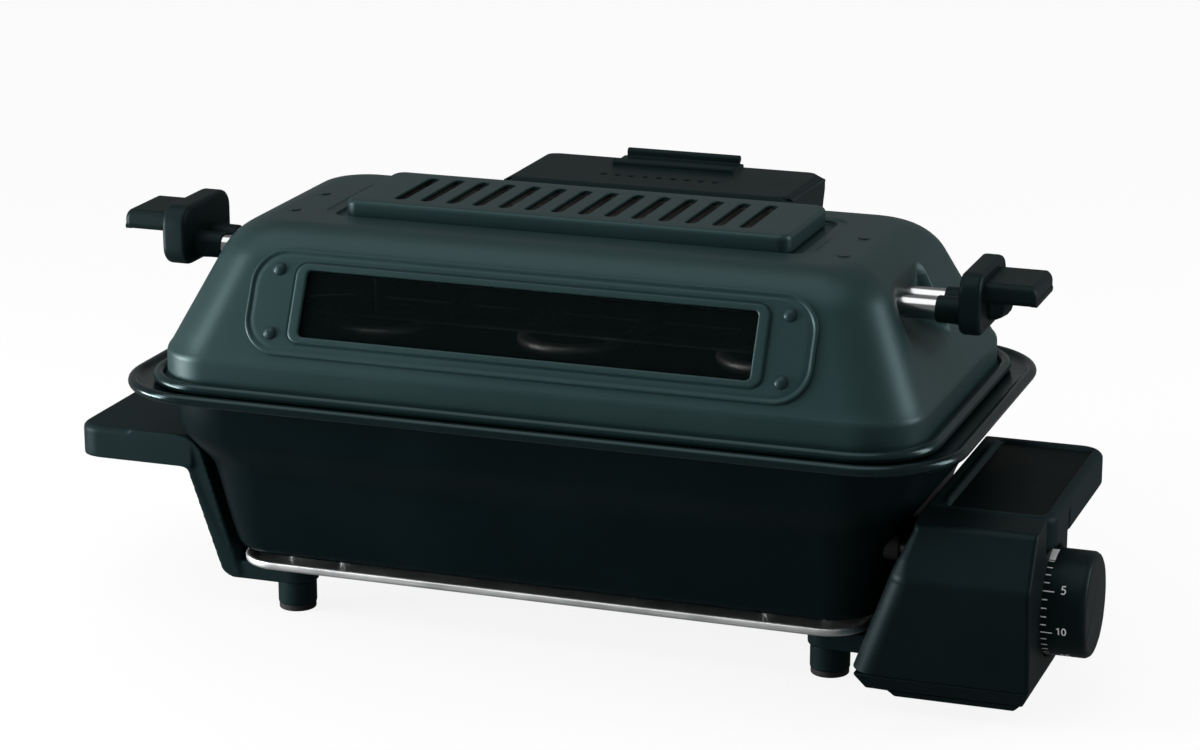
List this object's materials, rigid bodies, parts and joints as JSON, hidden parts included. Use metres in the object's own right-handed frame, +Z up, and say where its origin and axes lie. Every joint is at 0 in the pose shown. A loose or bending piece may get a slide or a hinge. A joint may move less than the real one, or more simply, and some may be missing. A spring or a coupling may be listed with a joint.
{
  "type": "electric fish roaster",
  "caption": "Counter-top electric fish roaster: deep steel tub on a resin stand, hinged lid with a long window and slotted steam vent, and a clockwork timer box.",
  "frame": {"origin": "on the bench, under the middle of the roaster's overall box", "axes": "+X along the roaster towards the timer dial, +Y to the hinged back, +Z up"},
  "size_m": [0.5164, 0.27, 0.2102],
  "materials": {
    "lid_paint": "satin heat-resistant paint",
    "ring_paint": "satin heat-resistant paint, darker",
    "rivet_paint": "satin paint",
    "tub_enamel": "semi-gloss dark enamel",
    "tray_enamel": "dark non-stick enamel",
    "stand_resin": "fine grained moulded resin",
    "box_resin": "fine grained moulded resin",
    "panel_resin": "plain let-in panel",
    "dial_resin": "smooth moulded resin",
    "handle_resin": "heat-resistant moulded resin",
    "grip_resin": "satin moulded resin",
    "bracket_paint": "satin paint",
    "foot_rubber": "matte rubber",
    "bush_rubber": "matte rubber",
    "plate_steel": "bright aluminised steel sheet",
    "screw_steel": "zinc-plated steel",
    "strap_steel": "plain pressed steel",
    "net_chrome": "plated wire",
    "rod_chrome": "polished rod",
    "lower_sheath": "dull heater sheath",
    "upper_sheath": "dull heater sheath, paler",
    "gland_ceramic": "unglazed ceramic",
    "timer_case": "smooth moulded case",
    "bell_steel": "plated steel",
    "lead_sleeve": "woven glass sleeving",
    "fuse_glass": "small metal-cased fuse",
    "window_glass": "dark tinted heat-resistant glass",
    "filter_ceramic": "porous ceramic"
  },
  "bodies": {
    "base": {"heat_shield": "plate_steel", "left_frame": "stand_resin", "right_frame": "stand_resin", "foot_posts": "stand_resin", "foot_pads": "foot_rubber", "frame_screws": "screw_steel", "tub": "tub_enamel", "tub_spacers": "screw_steel", "drip_tray": "tray_enamel", "lower_heater": "lower_sheath", "lower_heater_clips": "strap_steel", "heater_gland": "gland_ceramic", "grill_net": "net_chrome", "control_cover": "box_resin", "control_bottom": "box_resin", "handle_panel": "panel_resin", "timer_unit": "timer_case", "timer_bell": "bell_steel", "terminal_block": "gland_ceramic", "lead_wires": "lead_sleeve", "thermal_fuse": "fuse_glass", "cord_bush": "bush_rubber", "box_screws": "screw_steel", "hinge_bracket": "bracket_paint", "hinge_pins": "screw_steel", "hinge_screws": "screw_steel"},
    "dial": {"timer_dial": "dial_resin", "dial_shaft": "screw_steel"},
    "lid": {"lid_shell": "lid_paint", "lid_ring": "ring_paint", "window_frame": "lid_paint", "window_glass": "window_glass", "window_retainer": "tray_enamel", "window_rivets": "rivet_paint", "upper_heater": "upper_sheath", "upper_heater_clips": "strap_steel", "handle_rods": "rod_chrome", "rod_brackets": "strap_steel", "top_rivets": "rivet_paint", "left_lid_handle": "handle_resin", "right_lid_handle": "handle_resin", "rear_grip": "grip_resin", "grip_screws": "screw_steel", "terminal_cover": "handle_resin"},
    "vent": {"vent_cover": "lid_paint", "filter_cage": "strap_steel", "catalyst_filter": "filter_ceramic"}
  },
  "joints": [
    {"name": "lid_hinge", "type": "hinge", "parent": "base", "child": "lid", "pos_m": [-0.00825, 0.102, 0.131], "axis": [-1, 0, 0], "range_deg": [0, 95]},
    {"name": "timer_turn", "type": "hinge", "parent": "base", "child": "dial", "pos_m": [0.24175, -0.065, 0.05], "axis": [-1, 0, 0], "range_deg": [0, 273]},
    {"name": "vent_cover_lift", "type": "slide", "parent": "lid", "child": "vent", "axis": [0, 0, 1], "range_m": [0, 0.035]}
  ]
}
